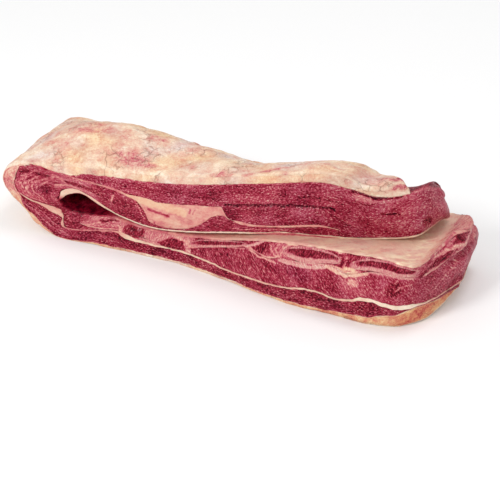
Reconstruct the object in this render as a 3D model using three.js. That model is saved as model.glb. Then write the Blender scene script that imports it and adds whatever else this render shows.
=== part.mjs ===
// A slab of raw beef plate ribs, folded once over itself with its fat side out.
// Millimetres. X runs along the folded slab, Y from the long cut face in front to the back,
// Z up. The origin is under the middle of the slab, on the surface that it lies on.
//
// The slab is one long strip: upper leaf, fold, lower leaf. Every layer of the strip is a
// ribbon that follows it from the right end of the upper leaf, round the fold on the left,
// to the right end of the lower leaf.

import * as THREE from 'three';

// ---------------------------------------------------------------- driving dimensions

// Stations round the strip, seen on the long cut face. Each row holds a point on the line
// where fat meets meat (x, y, z), and the point on the rib side opposite it (x, y, z).
const STATIONS = [
  // upper leaf, right end to left
  [197, 32, 106, 197, 28, 71],
  [191, -3, 123, 190, -5, 71],
  [174, -14, 117, 175, -13, 67],
  [150, -25, 115, 152, -23, 65.5],
  [126, -35, 123, 128, -32, 64.5],
  [98, -45, 129, 100, -42, 63],
  [55, -47, 119, 57, -46, 58],
  [5, -48, 106, 7, -47, 48.5],
  [-45, -49, 94, -43, -48, 37],
  [-90, -49, 86, -86, -49, 31],
  [-130, -50, 82, -120, -50, 35],
  [-168, -51, 78, -148, -51, 44],
  // fold
  [-202, -54, 75, -169, -52, 53.5],
  [-230, -59, 74, -184, -54, 51],
  [-246, -62, 65, -191, -55, 46],
  [-250, -62, 53, -195, -55, 41],
  [-244, -62, 40, -195, -54, 36.5],
  [-230, -62, 26, -189, -53, 32],
  [-211, -62, 10, -177, -52, 29.5],
  // lower leaf, left to right end
  [-185, -62, 4, -160, -50, 30.5],
  [-147, -60, 3, -140, -48, 32],
  [-100, -57, 3, -98, -46, 27.5],
  [-50, -57, 3, -49, -46, 31],
  [0, -64, 3, 0, -50, 42],
  [45, -73, 3, 45, -59, 57.5],
  [90, -78, 4, 90, -65, 67.5],
  [135, -77, 6, 135, -66, 71.5],
  [172, -76, 9, 174, -66, 74.5],
  [195, -68, 11, 198, -66, 73],
  [212, -48, 13, 210, -52, 71],
  [229, 8, 14, 219, 16, 70],
];
const LAST = STATIONS.length - 1;
// The point that the rows' x and y are counted from, in the slab's own frame.
const STATION_ORIGIN = new THREE.Vector3(14.8, 3.65, 0);

// Sizes that change along the strip, as [station, mm] pairs.
const FAT_THICKNESS = [[0, 12], [1.8, 12], [2.2, 14.5], [2.75, 14], [3.3, 10], [3.7, 8.5],
  [4.2, 12], [5, 11], [8, 9], [11, 8], [12, 8], [13, 8.5], [14, 11], [15.6, 11], [16.2, 9.6],
  [17, 8], [18.6, 8], [20, 5], [24, 4], [25, 5], [26, 7], [27, 10], [29, 12], [29.6, 8], [30, 4]];
const RIB_LAYER_THICKNESS = [[18, 0], [18.4, 1], [19, 14.5], [20, 12.6], [20.4, 9.3], [21, 8.9],
  [22, 12], [22.5, 8.3], [23, 6.6], [23.5, 8.8], [24, 14.5], [25, 15.8], [25.5, 13.7],
  [26, 17.6], [26.5, 15.2], [27, 13], [28.5, 10.7], [29, 13], [30, 14]];
const PLEURA_THICKNESS = [[0, 1.8], [4.2, 1.8], [4.8, 4.8], [6, 5], [6.5, 2.6], [7, 1.8],
  [10.2, 1.8], [11, 6.5], [12.2, 9.5], [13, 8], [13.9, 4], [15, 2], [30, 2]];

// Where the faces between the layers lie, in mm from the fat line in to the rib side. The
// fat's own inner face wanders off that line, and the fat thins out at a negative value.
const FAT_WANDER = [[11, 0], [11.5, 3.7], [12, 1.5], [12.5, -5.5], [13, -5.5], [13.5, -1.5],
  [14.3, 4], [16, 4], [16.5, -0.5], [17, -2.8], [17.5, -0.6], [18.5, -4.5], [19, -4.4], [20, 0],
  [26.7, 0], [27, 2.7], [28, 6], [28.5, 10], [29, 8.5], [29.5, 2], [30, -2.5]];
const OUTER_MUSCLE_END = [[4.5, 50.5], [5, 49.2], [6, 48.8], [6.5, 47.2], [7, 41], [7.3, 24.5],
  [8, 22.8], [8.8, 21.8], [9.2, 18], [9.7, 16.4], [10, 12.7], [10.7, 8.9], [12, 3], [12.5, -4.5],
  [15.7, 4.8], [16, 9.6], [16.5, 19.5], [17, 22], [17.5, 23.8], [17.8, 25], [18.5, 11.6],
  [19, 12], [20, 15.6], [20.5, 14], [21, 11], [22, 12], [23, 9.8], [24, 12.2], [24.5, 13.8],
  [25, 18], [25.5, 18.8], [26, 15.4], [26.5, 19.2], [27, 18], [27.5, 14.2], [28, 11.2],
  [28.7, 11.7], [29.2, 9], [29.5, 7], [30, 6.6]];
const SEAM_FAT_END = [[4.5, 51.5], [5, 51], [6, 50.5], [6.5, 49.6], [7, 43], [7.4, 35], [7.7, 43],
  [8, 50.7], [8.4, 53], [8.8, 51], [9.1, 46.5], [9.3, 27], [9.6, 19.6], [10, 14.4],
  [10.3, 12.6], [12, 4.5], [12.5, -3], [15.7, 6.3], [16, 12], [16.5, 29], [17, 34.3],
  [17.5, 30.9], [18, 24], [18.5, 14], [19, 13.2], [20, 16.9], [20.5, 17.4], [21, 13.4],
  [22, 13.8], [23, 11.3], [24, 13.7], [24.5, 15.3], [25, 19.7], [25.5, 20.6], [26, 17.6],
  [26.5, 23], [27, 21.9], [27.5, 18.7], [28, 17], [28.5, 16.5], [29, 12.2], [29.5, 8.7],
  [30, 8.2]];

// Towards the back the fat side first swells to a crown, then falls away, in mm.
const CROWN_HEIGHT = [[1, 0], [3, 2], [5, 0], [6, -1], [7, 1], [8, 6], [9, 13], [10, 20], [11, 24],
  [12, 18], [13, 4], [14, 0]];
const CROWN_DEPTH = [[7, 0.15], [8, 0.42], [9, 0.5], [11, 0.52]];
const BACK_SWELL = [[0, -18], [1, -27], [2, -34], [3, -43], [5, -48], [6, -46], [7, -44],
  [8, -34], [9, -22], [10, -12], [13, -6], [15, -5], [18, 0]];
// Height of the rib side at the back edge, where the two leaves lie on each other.
const RIB_SIDE_BACK_Z = [[0, 64], [3, 61], [5, 58], [6, 52], [7, 43], [8, 35], [9, 34], [10, 37],
  [11, 41], [12, 44], [13, 43.5], [14, 42], [15, 40.5], [16, 39], [17, 37], [18, 35], [19, 33],
  [20, 31], [21, 28], [22, 31], [23, 39], [24, 48], [25, 54], [27, 57], [30, 60]];
// The cut faces bulge a little between the fat line and the rib side.
const FRONT_BULGE = [[0, 2], [10, 3], [12, 1], [20, 2], [24, 4], [26, 6], [29, 5], [30, 2]];
const BACK_BULGE = 4;
const RIGHT_END_BULGE = [[0, 4], [1.5, 0], [28.5, 0], [30, 8]];
const RIGHT_END_TAPER = [[0, 16], [1.5, 0], [28.5, 0], [30, 12]]; // the fat side's ends slant in
const BACK_Y = [[0, 52], [2, 56], [8, 58], [12, 62], [18, 66], [30, 68]];
const FALL_POWER = 1.5;          // how late the fat side falls away behind its crown
const EDGE_POWER = 4;            // how near the front and back edges the bulges stay

const FAT_CAP_START = 2;         // station where the fat's rounded tongue ends
const SEAM_START = 4.5;          // the seam and the deep muscle run out before the right end
const MUSCLE_CLOSES = 4;         // right of this station the outer muscle fills the leaf
const RIB_LAYER_START = 18.5;    // the rib layer and its fills run out at the fold

// Flat oval ribs, as the station of each one's middle and half its width in stations.
const RIBS = [
  { name: 'rib_1', middle: 22.8, half: 0.72 },
  { name: 'rib_2', middle: 25.2, half: 0.7 },
  { name: 'rib_3', middle: 27.5, half: 1.38 },
];
// What fills the rib layer between the ribs, from its left to its right station.
const RIB_LAYER_FILLS = [
  { name: 'wedge_fat', from: RIB_LAYER_START, to: 20.38, look: 'paleFat' },
  { name: 'intercostal_1', from: 20.4, to: 20.98, look: 'redMeat' },
  { name: 'intercostal_2', from: 21, rightRib: 0, look: 'paleMeat' },
  { name: 'intercostal_3', leftRib: 0, rightRib: 1, look: 'redMeat' },
  { name: 'intercostal_4', leftRib: 1, rightRib: 2, look: 'redMeat' },
  { name: 'intercostal_5', leftRib: 2, to: LAST, look: 'paleMeat' },
];
const RIB_ROUNDNESS = 2;         // exponent of the oval
const WING = 0.8;                // the fills stop short of the oval's thin shoulders

const GAP = 0.3;                 // space between neighbouring layers
const RIB_CLEAR = 0.5;           // space over and under the rib layer
const RIB_CLEAR_STATIONS = 0.03; // space between a rib and its neighbours, along the strip
const LEAST_LAYER = 1.5;         // least thickness of a layer, its gaps included
const PLEURA_BACK_SHARE = 0.4;   // part of the membrane's thickness left at the back
const FAT_EDGE_ROUND = 0.3;      // share of the fat lost at its front and back edges
const FAT_EDGE_POWER = 8;        // how sharply those edges turn
const TONGUE_TIP_ROUND = 0.7;    // share of the fat lost at the tip of its tongue
const TONGUE_BACKS_OFF = 1.4;    // stations by which the tip draws back towards the rear
const STRIP_STEPS = 2 * LAST;    // a column at and halfway between the stations
const DEPTH_STEPS = 5;
const OVAL_SIDES = 16;
const FILL_STEPS = 6;            // through the height of the rib layer
const FILL_COLUMNS = 6;          // across the width between two ribs

const LOOKS = {
  fat: { color: 0xf2d0b5, roughness: 0.55 },
  paleFat: { color: 0xdfa79b, roughness: 0.5 },
  seamFat: { color: 0xe09b8d, roughness: 0.5 },
  outerMeat: { color: 0x9e4454, roughness: 0.45 },
  deepMeat: { color: 0xa54658, roughness: 0.45 },
  redMeat: { color: 0xa53c4c, roughness: 0.45 },
  paleMeat: { color: 0xc87f82, roughness: 0.45 },
  pleura: { color: 0xe5aca1, roughness: 0.4 },
  bone: { color: 0xb86a70, roughness: 0.5 },
};

// ---------------------------------------------------------------- reading the sizes

// Value of a [station, value] list at a station, in a straight line between its pairs.
function sizeAt(pairs, station) {
  if (station <= pairs[0][0]) return pairs[0][1];
  for (let i = 1; i < pairs.length; i += 1) {
    const [from, before] = pairs[i - 1];
    const [to, after] = pairs[i];
    if (station <= to) {
      return THREE.MathUtils.mapLinear(station, from, to, before, after);
    }
  }
  return pairs[pairs.length - 1][1];
}

// The two edges of the cut face as smooth curves with one parameter step for each station.
const fatLine = new THREE.CatmullRomCurve3(
  STATIONS.map((row) => new THREE.Vector3(row[0], row[1], row[2])), false, 'catmullrom', 0.5);
const ribLine = new THREE.CatmullRomCurve3(
  STATIONS.map((row) => new THREE.Vector3(row[3], row[4], row[5])), false, 'catmullrom', 0.5);

// ---------------------------------------------------------------- the strip in space

// How far the fat side stands out (+) or in (-) at a depth from 0, front, to 1, back.
function swellAt(station, depth) {
  const crown = sizeAt(CROWN_HEIGHT, station);
  const crownDepth = sizeAt(CROWN_DEPTH, station);
  if (depth < crownDepth) return crown * Math.sin((Math.PI / 2) * (depth / crownDepth));
  const beyond = (depth - crownDepth) / (1 - crownDepth);
  return crown + (sizeAt(BACK_SWELL, station) - crown) * beyond ** FALL_POWER;
}

// The line through the strip's thickness at one station and depth, from fat to rib side.
function throughLine(station, depth) {
  const fatSide = fatLine.getPoint(station / LAST);
  const ribSide = ribLine.getPoint(station / LAST);
  const thicknessInFront = fatSide.distanceTo(ribSide);
  const outward = new THREE.Vector3(fatSide.x - ribSide.x, 0, fatSide.z - ribSide.z).normalize();
  fatSide.addScaledVector(outward, swellAt(station, depth));
  const sunk = Math.sin((Math.PI / 2) * depth);
  ribSide.z = THREE.MathUtils.lerp(ribSide.z, sizeAt(RIB_SIDE_BACK_Z, station), sunk);
  const backY = sizeAt(BACK_Y, station);
  fatSide.y = THREE.MathUtils.lerp(fatSide.y, backY, depth);
  ribSide.y = THREE.MathUtils.lerp(ribSide.y, backY, depth);
  const inward = ribSide.clone().sub(fatSide);
  const thickness = inward.length();
  const faces = layerFaces(station, depth, thickness, thickness / thicknessInFront);
  return { start: fatSide, inward: inward.normalize(), faces };
}

// A size at the columns that all the layers share, and in a straight line between them.
function sizeAtColumns(pairs, station) {
  const column = station * STRIP_STEPS / LAST;
  const before = Math.floor(column);
  const at = (number) => sizeAt(pairs, number * LAST / STRIP_STEPS);
  return THREE.MathUtils.lerp(at(before), at(before + 1), column - before);
}

// Distances from the fat line, inwards, of the faces between the layers. Where the leaf is
// squeezed thinner than in front, they lie closer together. Each layer keeps a least thickness.
function layerFaces(station, depth, thickness, squeeze) {
  const { clamp, lerp } = THREE.MathUtils;
  const fatEnd = sizeAtColumns(FAT_WANDER, station) * squeeze * (1 - depth) ** 2;
  const pleura = sizeAtColumns(PLEURA_THICKNESS, station) * lerp(1, PLEURA_BACK_SHARE, depth);
  const ribsEnd = thickness - Math.max(pleura, LEAST_LAYER);
  const deepEnd = ribsEnd - sizeAtColumns(RIB_LAYER_THICKNESS, station);
  const closed = station <= MUSCLE_CLOSES;
  const outerEnd = closed ? deepEnd : clamp(
    sizeAtColumns(OUTER_MUSCLE_END, station) * squeeze,
    fatEnd + LEAST_LAYER, deepEnd - 2 * LEAST_LAYER);
  const seamEnd = clamp(
    sizeAtColumns(SEAM_FAT_END, station) * squeeze,
    outerEnd + LEAST_LAYER, deepEnd - LEAST_LAYER);
  return {
    skin: -sizeAt(FAT_THICKNESS, station),
    fatEnd,
    outerEnd,
    seamEnd,
    deepEnd,
    ribsEnd,
    ribSide: thickness,
  };
}

// A point of the slab. The slab's weight presses its underside flat.
function place(station, depth, distanceOf) {
  const line = throughLine(station, depth);
  const distance = distanceOf(line.faces);
  const point = line.start.addScaledVector(line.inward, distance);
  const share = THREE.MathUtils.clamp(distance / line.faces.ribSide, 0, 1);
  const middleness = Math.sin(Math.PI * share);
  point.y -= middleness * sizeAt(FRONT_BULGE, station) * (1 - depth) ** EDGE_POWER;
  point.y += middleness * BACK_BULGE * depth ** EDGE_POWER;
  point.x += middleness * sizeAt(RIGHT_END_BULGE, station);
  point.x -= (1 - share) * depth * sizeAt(RIGHT_END_TAPER, station);
  point.z = Math.max(point.z, 0);
  return point.add(STATION_ORIGIN);
}

// ---------------------------------------------------------------- making the solids

const slab = new THREE.Group();

function addSolid(name, geometry, look) {
  geometry.deleteAttribute('uv');
  geometry.computeVertexNormals();
  const material = new THREE.MeshStandardMaterial({
    color: LOOKS[look].color, roughness: LOOKS[look].roughness, metalness: 0,
  });
  const mesh = new THREE.Mesh(geometry, material);
  mesh.name = name;
  slab.add(mesh);
}

// Depth rows lie closer together at the front and back edges, which round over there.
const depthOf = (row) => 0.5 - 0.5 * Math.cos(Math.PI * row);

// Bends a unit box round the strip: its x runs along the stations, its y through the
// thickness and its z, turned round, through the depth.
function bendBox(box, stationOf, distanceOf) {
  const position = box.attributes.position;
  for (let i = 0; i < position.count; i += 1) {
    const along = position.getX(i) + 0.5;
    const through = position.getY(i) + 0.5;
    const depth = depthOf(0.5 - position.getZ(i));
    const station = stationOf(along, through);
    const point = place(station, depth, (faces) => distanceOf(faces, through, station, depth));
    position.setXYZ(i, point.x, point.y, point.z);
  }
  return box;
}

// A box splits its top and bottom quads along opposite diagonals. Turning those of the top,
// the third of its six sides, makes the facets of two layers match where they meet.
function turnDiagonals(box) {
  const [, , top] = box.groups;
  for (let i = top.start; i < top.start + top.count; i += 6) {
    box.index.setX(i + 2, box.index.getX(i + 4));
    box.index.setX(i + 3, box.index.getX(i));
  }
}

// A unit box for a layer. All layers share the same columns, so that their faces stay parallel.
function stripBox(firstStation) {
  const columns = Math.round(STRIP_STEPS * (LAST - firstStation) / LAST);
  const first = LAST * (1 - columns / STRIP_STEPS);
  const box = new THREE.BoxGeometry(1, 1, 1, columns, 1, DEPTH_STEPS);
  turnDiagonals(box);
  return { box, stationOf: (along) => THREE.MathUtils.lerp(first, LAST, along) };
}

// One layer of the strip, between two of the faces named in layerFaces.
function addLayer(name, outerFace, innerFace, firstStation, look) {
  const { box, stationOf } = stripBox(firstStation);
  const distanceOf = (faces, through) => (
    through < 0.5 ? faces[outerFace] + GAP / 2 : faces[innerFace] - GAP / 2);
  addSolid(name, bendBox(box, stationOf, distanceOf), look);
}

// The fat cap rounds over at its front and back edges and at the tip of its tongue.
function addFatCap() {
  const { box, stationOf } = stripBox(FAT_CAP_START);
  const distanceOf = (faces, through, station, depth) => {
    if (through > 0.5) return faces.fatEnd - GAP / 2;
    const edge = Math.abs(2 * depth - 1) ** FAT_EDGE_POWER;
    const tip = FAT_CAP_START + TONGUE_BACKS_OFF * depth;
    const nearTip = THREE.MathUtils.clamp(tip + 1 - station, 0, 1);
    const skin = faces.skin * (1 - FAT_EDGE_ROUND * edge) * (1 - TONGUE_TIP_ROUND * nearTip);
    return Math.min(skin, faces.fatEnd - LEAST_LAYER);
  };
  addSolid('fat_cap', bendBox(box, stationOf, distanceOf), 'fat');
}

// Half width of a rib's oval, as a share, at a height q from -1 to 1 in the rib layer.
const ovalWidth = (q) => (1 - Math.abs(q) ** RIB_ROUNDNESS) ** (1 / RIB_ROUNDNESS);

// Distance from the fat line of a height q in the rib layer, clear of both its faces.
function ribLayerDistance(faces, q) {
  return THREE.MathUtils.lerp(faces.deepEnd + RIB_CLEAR, faces.ribsEnd - RIB_CLEAR, (q + 1) / 2);
}

// How far a point of the unit circle moves out to lie on the rounder oval. The middle stays.
function ovalStretch(side, q) {
  const reach = Math.hypot(side, q);
  if (reach === 0) return 0;
  const sum = Math.abs(side) ** RIB_ROUNDNESS + Math.abs(q) ** RIB_ROUNDNESS;
  return reach / sum ** (1 / RIB_ROUNDNESS);
}

// A rib: an upright cylinder bent so that its axis runs from the front to the back.
function addRib({ name, middle, half }) {
  const bar = new THREE.CylinderGeometry(1, 1, 1, OVAL_SIDES, DEPTH_STEPS);
  const position = bar.attributes.position;
  for (let i = 0; i < position.count; i += 1) {
    const side = position.getX(i);
    const q = position.getZ(i);
    const stretch = ovalStretch(side, q);
    const station = middle + half * side * stretch;
    const depth = depthOf(position.getY(i) + 0.5);
    const point = place(station, depth, (faces) => ribLayerDistance(faces, q * stretch));
    position.setXYZ(i, point.x, point.y, point.z);
  }
  addSolid(name, bar, 'bone');
}

// Meat or fat between two ribs, with ends that fit round their ovals.
function addRibLayerFill({ name, from, to, leftRib, rightRib, look }) {
  const box = new THREE.BoxGeometry(1, 1, 1, FILL_COLUMNS, FILL_STEPS, DEPTH_STEPS);
  const ribEdge = (rib, sign, q) => rib.middle
    + sign * (rib.half * ovalWidth(Math.min(Math.abs(q), WING)) + RIB_CLEAR_STATIONS);
  const stationOf = (along, through) => {
    const q = 2 * through - 1;
    const left = leftRib === undefined ? from : ribEdge(RIBS[leftRib], 1, q);
    const right = rightRib === undefined ? to : ribEdge(RIBS[rightRib], -1, q);
    return THREE.MathUtils.lerp(left, right, along);
  };
  const distanceOf = (faces, through) => ribLayerDistance(faces, 2 * through - 1);
  addSolid(name, bendBox(box, stationOf, distanceOf), look);
}

addFatCap();
addLayer('outer_muscle', 'fatEnd', 'outerEnd', 0, 'outerMeat');
addLayer('seam_fat', 'outerEnd', 'seamEnd', SEAM_START, 'seamFat');
addLayer('deep_muscle', 'seamEnd', 'deepEnd', SEAM_START, 'deepMeat');
RIBS.forEach(addRib);
RIB_LAYER_FILLS.forEach(addRibLayerFill);
addLayer('pleura', 'ribsEnd', 'ribSide', 0, 'pleura');

export default slab;
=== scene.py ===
"""A slab of raw beef plate ribs, folded once over itself, on a pale table top.

The slab's sizes are in millimetres and are turned into metres where a mesh is made. The
camera, the table and the lights are in metres.
"""
import math

import bmesh
import bpy
import numpy as np
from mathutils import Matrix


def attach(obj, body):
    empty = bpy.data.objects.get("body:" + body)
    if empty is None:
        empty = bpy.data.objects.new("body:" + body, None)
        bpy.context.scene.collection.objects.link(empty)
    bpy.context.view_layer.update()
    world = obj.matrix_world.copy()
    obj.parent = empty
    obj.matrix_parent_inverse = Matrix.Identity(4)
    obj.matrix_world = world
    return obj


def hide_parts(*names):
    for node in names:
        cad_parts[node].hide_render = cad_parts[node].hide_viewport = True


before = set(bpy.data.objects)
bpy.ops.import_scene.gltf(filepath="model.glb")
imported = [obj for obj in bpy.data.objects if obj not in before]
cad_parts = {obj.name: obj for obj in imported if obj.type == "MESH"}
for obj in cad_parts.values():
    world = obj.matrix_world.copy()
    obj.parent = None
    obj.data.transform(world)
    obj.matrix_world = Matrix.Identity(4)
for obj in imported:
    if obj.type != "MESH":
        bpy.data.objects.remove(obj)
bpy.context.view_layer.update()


# -------------------------------- camera, table and light
# The slab lies on a plain white table top. A large soft light stands in front on the left,
# a second hangs over it, and the white room around it fills the shadows.

LOOK_AT = np.array([0.0148, 0.00365, 0.0])
CAMERA_AZIMUTH, CAMERA_ELEVATION = math.radians(25), math.radians(32)
CAMERA_DISTANCE, FRAME_WIDTH = 2.0, 0.525
ROOM_STRENGTH = 0.7

scene = bpy.context.scene
away = np.array([
    math.sin(CAMERA_AZIMUTH) * math.cos(CAMERA_ELEVATION),
    -math.cos(CAMERA_AZIMUTH) * math.cos(CAMERA_ELEVATION),
    math.sin(CAMERA_ELEVATION),
])
camera = bpy.data.objects.new("camera", bpy.data.cameras.new("camera"))
camera.location = LOOK_AT + away * CAMERA_DISTANCE
camera.rotation_euler = (math.pi / 2 - CAMERA_ELEVATION, 0, CAMERA_AZIMUTH)
camera.data.lens = camera.data.sensor_width * CAMERA_DISTANCE / FRAME_WIDTH
scene.collection.objects.link(camera)
scene.camera = camera
scene.view_settings.view_transform = "Standard"


def linear(red, green, blue):
    """A colour as read from a screen, 0 to 255, as the light that Blender counts in."""
    parts = [c / 255 for c in (red, green, blue)]
    return (*[c / 12.92 if c <= 0.04045 else ((c + 0.055) / 1.055) ** 2.4 for c in parts], 1)


def add(tree, kind, inputs=None, **settings):
    """A shader node with its settings, its inputs given as numbers or as sockets to link."""
    node = tree.nodes.new("ShaderNode" + kind)
    for name, value in settings.items():
        setattr(node, name, value)
    for name, value in (inputs or {}).items():
        socket = node.inputs[name]
        if isinstance(value, bpy.types.NodeSocket):
            tree.links.new(value, socket)
        else:
            socket.default_value = value
    return node


def new_material(name):
    material = bpy.data.materials.new(name)
    material.use_nodes = True
    material.node_tree.nodes.clear()
    return material, material.node_tree


def finish_material(tree, shader):
    output = add(tree, "OutputMaterial")
    tree.links.new(shader.outputs[0], output.inputs["Surface"])


TABLE_SIZE = 8.0
half = TABLE_SIZE / 2
table_mesh = bpy.data.meshes.new("table_top")
table_mesh.from_pydata([(-half, -half, 0), (half, -half, 0), (half, half, 0), (-half, half, 0)],
                       [], [(0, 1, 2, 3)])
table_top = bpy.data.objects.new("table_top", table_mesh)
scene.collection.objects.link(table_top)
table_paint, tree = new_material("table_paint")
finish_material(tree, add(tree, "BsdfPrincipled", {
    "Base Color": linear(252, 252, 252), "Roughness": 0.8}))
table_mesh.materials.append(table_paint)

world = bpy.data.worlds.new("white_room")
world.use_nodes = True
room_light = world.node_tree.nodes["Background"].inputs
room_light["Color"].default_value = (1, 1, 1, 1)
room_light["Strength"].default_value = ROOM_STRENGTH
scene.world = world


def add_light(name, place, aim, size, watts):
    lamp = bpy.data.lights.new(name, "AREA")
    lamp.shape, lamp.size, lamp.energy = "DISK", size, watts
    light = bpy.data.objects.new(name, lamp)
    light.location = place
    direction = np.array(aim) - np.array(place)
    flat = math.hypot(direction[0], direction[1])
    light.rotation_euler = (math.atan2(flat, -direction[2]), 0,
                            math.atan2(direction[1], direction[0]) - math.pi / 2)
    scene.collection.objects.link(light)


add_light("front_softbox", (-0.6, -1.5, 1.3), (0, 0, 0.05), 0.5, 16)
add_light("top_softbox", (0.4, 0.4, 1.8), (0, 0, 0.05), 0.7, 7)


# -------------------------------- fat cap
# The outer fat of the slab, cream and pink, creased and lumpy, one skin from the rounded
# tongue at the upper leaf's right end round the fold at the left to the lower leaf's end.

# The whole slab is one strip of layers that is folded so. A point of it has a station (0 to
# 30 along the strip), a depth (0 at the long cut face, 1 at the back) and a distance in from
# the line where fat meets meat.

STATIONS = np.array([
    # point on the fat line, and opposite it on the rib side
    [197, 32, 106, 197, 28, 71], [191, -3, 123, 190, -5, 71], [174, -14, 117, 175, -13, 67],
    [150, -25, 115, 152, -23, 65.5], [126, -35, 123, 128, -32, 64.5], [98, -45, 129, 100, -42, 63],
    [55, -47, 119, 57, -46, 58], [5, -48, 106, 7, -47, 48.5], [-45, -49, 94, -43, -48, 37],
    [-90, -49, 86, -86, -49, 31], [-130, -50, 82, -120, -50, 35], [-168, -51, 78, -148, -51, 44],
    # round the fold
    [-202, -54, 75, -169, -52, 53.5], [-230, -59, 74, -184, -54, 51],
    [-246, -62, 65, -191, -55, 46], [-250, -62, 53, -195, -55, 41],
    [-244, -62, 40, -195, -54, 36.5], [-230, -62, 26, -189, -53, 32],
    [-211, -62, 10, -177, -52, 29.5],
    # lower leaf
    [-185, -62, 4, -160, -50, 30.5], [-147, -60, 3, -140, -48, 32], [-100, -57, 3, -98, -46, 27.5],
    [-50, -57, 3, -49, -46, 31], [0, -64, 3, 0, -50, 42], [45, -73, 3, 45, -59, 57.5],
    [90, -78, 4, 90, -65, 67.5], [135, -77, 6, 135, -66, 71.5], [172, -76, 9, 174, -66, 74.5],
    [195, -68, 11, 198, -66, 73], [212, -48, 13, 210, -52, 71], [229, 8, 14, 219, 16, 70],
], float)
LAST = len(STATIONS) - 1
STATION_ORIGIN = np.array([14.8, 3.65, 0.0])
# By station: how far the fat side rises behind the cut face and at what depth it is highest,
# how far it has sunk at the back, and how high the rib side is there.
CROWN_HEIGHT = [
    [1, 0], [3, 2], [5, 0], [6, -1], [7, 1], [8, 6], [9, 13], [10, 20], [11, 24], [12, 18],
    [13, 4], [14, 0],
]
CROWN_DEPTH = [[7, .15], [8, .42], [9, .5], [11, .52]]
BACK_SWELL = [
    [0, -18], [1, -27], [2, -34], [3, -43], [5, -48], [6, -46], [7, -44], [8, -34], [9, -22],
    [10, -12], [13, -6], [15, -5], [18, 0],
]
RIB_SIDE_BACK_Z = [
    [0, 64], [3, 61], [5, 58], [6, 52], [7, 43], [8, 35], [9, 34], [10, 37], [11, 41], [12, 44],
    [13, 43.5], [14, 42], [15, 40.5], [16, 39], [17, 37], [18, 35], [19, 33], [20, 31], [21, 28],
    [22, 31], [23, 39], [24, 48], [25, 54], [27, 57], [30, 60],
]
FRONT_BULGE = [[0, 2], [10, 3], [12, 1], [20, 2], [24, 4], [26, 6], [29, 5], [30, 2]]
BACK_BULGE = 4
RIGHT_END_BULGE = [[0, 4], [1.5, 0], [28.5, 0], [30, 8]]
RIGHT_END_TAPER = [[0, 16], [1.5, 0], [28.5, 0], [30, 12]]
BACK_Y = [[0, 52], [2, 56], [8, 58], [12, 62], [18, 66], [30, 68]]
FALL_POWER, EDGE_POWER = 1.5, 4
SLAB_DEPTH = 120  # from front to back, about
RAGGED_END = [
    [0, -2], [6, 1], [14, -1], [24, 2], [34, 2.5], [38, -3], [42, -1], [46, 6], [51, 7], [54, 2],
    [57, -3], [62, -7],
]
RAGGED_FROM = 29.2
RAGGED_UPPER_END = [[0, -2], [6, 1.5], [12, -1], [20, 2], [27, 3], [32, 2], [35, 0]]
RAGGED_UPPER_TO = 1.0
BACK_CORNER_ROUND, BACK_CORNER_FROM, BACK_CORNER_POWER = 10, 28.5, 6


def size_at(pairs, station):
    """A size that changes smoothly along the strip, between pairs of a station and a size."""
    at, value = np.array(pairs, float).T
    slope = np.diff(value) / np.diff(at)
    tangent = np.zeros(len(at))
    same_way = slope[1:] * slope[:-1] > 0
    tangent[1:-1][same_way] = 2 / (1 / slope[1:][same_way] + 1 / slope[:-1][same_way])
    u = np.clip(station, at[0], at[-1])
    k = np.clip(np.searchsorted(at, u, side="right") - 1, 0, len(at) - 2)
    step = at[k + 1] - at[k]
    f = (u - at[k]) / step
    return (value[k] * (2 * f**3 - 3 * f**2 + 1) + value[k + 1] * (3 * f**2 - 2 * f**3)
            + step * (tangent[k] * (f**3 - 2 * f**2 + f) + tangent[k + 1] * (f**3 - f**2)))


def rise(value, low, high):
    """0 up to low and 1 from high on."""
    f = np.clip((value - low) / (high - low), 0, 1)
    return f * f * (3 - 2 * f)


def fade(value, low, high):
    """1 up to low and 0 from high on."""
    return 1 - rise(value, low, high)


def between(value, start, full, still_full, end):
    """1 in the middle part, and smoothly down to 0 at start and end."""
    return rise(value, start, full) * fade(value, still_full, end)


def line_at(points, station):
    """A point of the smooth curve through the stations' points."""
    rows = np.vstack([2 * points[0] - points[1], points, 2 * points[-1] - points[-2]])
    k = np.clip(np.floor(station).astype(int), 0, LAST - 1)
    f = (station - k)[..., None]
    a, b, c, d = (rows[k + i] for i in range(4))
    return b + 0.5 * f * (c - a + f * (2 * a - 5 * b + 4 * c - d + f * (3 * (b - c) + d - a)))


def through_line(station, depth):
    """Where the fat line is, the way in to the rib side, how far it is, and how far in front."""
    fat = line_at(STATIONS[:, :3], station)
    rib = line_at(STATIONS[:, 3:], station)
    thickness_in_front = np.linalg.norm(rib - fat, axis=-1)
    outward = (fat - rib) * [1, 0, 1]
    outward /= np.linalg.norm(outward, axis=-1, keepdims=True)
    crown, crown_depth = size_at(CROWN_HEIGHT, station), size_at(CROWN_DEPTH, station)
    crowned = crown * np.sin(np.pi / 2 * np.minimum(depth / crown_depth, 1))
    beyond = np.clip((depth - crown_depth) / (1 - crown_depth), 0, 1)
    swell = crowned + (size_at(BACK_SWELL, station) - crown) * beyond**FALL_POWER
    fat = fat + outward * swell[..., None]
    sunk = np.sin(np.pi / 2 * depth)
    rib[..., 2] += (size_at(RIB_SIDE_BACK_Z, station) - rib[..., 2]) * sunk
    for side in (fat, rib):
        side[..., 1] += (size_at(BACK_Y, station) - side[..., 1]) * depth
    inward = rib - fat
    thickness = np.linalg.norm(inward, axis=-1)
    return fat, inward / thickness[..., None], thickness, thickness_in_front


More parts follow.
